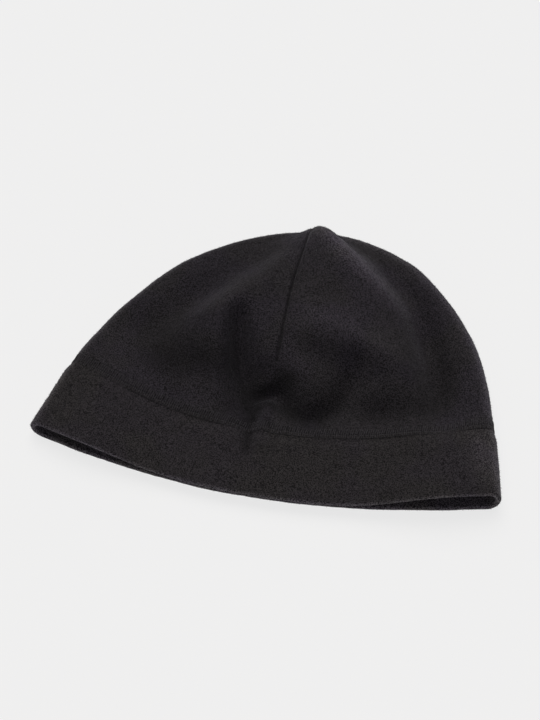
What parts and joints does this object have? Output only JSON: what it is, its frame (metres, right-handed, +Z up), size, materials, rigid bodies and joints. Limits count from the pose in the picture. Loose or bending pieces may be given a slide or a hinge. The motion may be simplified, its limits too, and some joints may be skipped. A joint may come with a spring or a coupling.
{
  "type": "fleece beanie",
  "caption": "Plain black fleece beanie lying on its back: a puffed, dented crown with a front dart over a turned, doubled band.",
  "frame": {"origin": "under the middle of the cap's box, on the surface that it lies on", "axes": "+X across the cap from its left edge to its right as seen from the opening, +Y from the opening to the apex, +Z up from the surface"},
  "size_m": [0.2712, 0.1902, 0.0351],
  "materials": {
    "crown_fleece": "matte napped fleece",
    "band_fleece": "matte napped fleece"
  },
  "bodies": {
    "root": {"crown": "crown_fleece", "band": "band_fleece"}
  },
  "joints": []
}
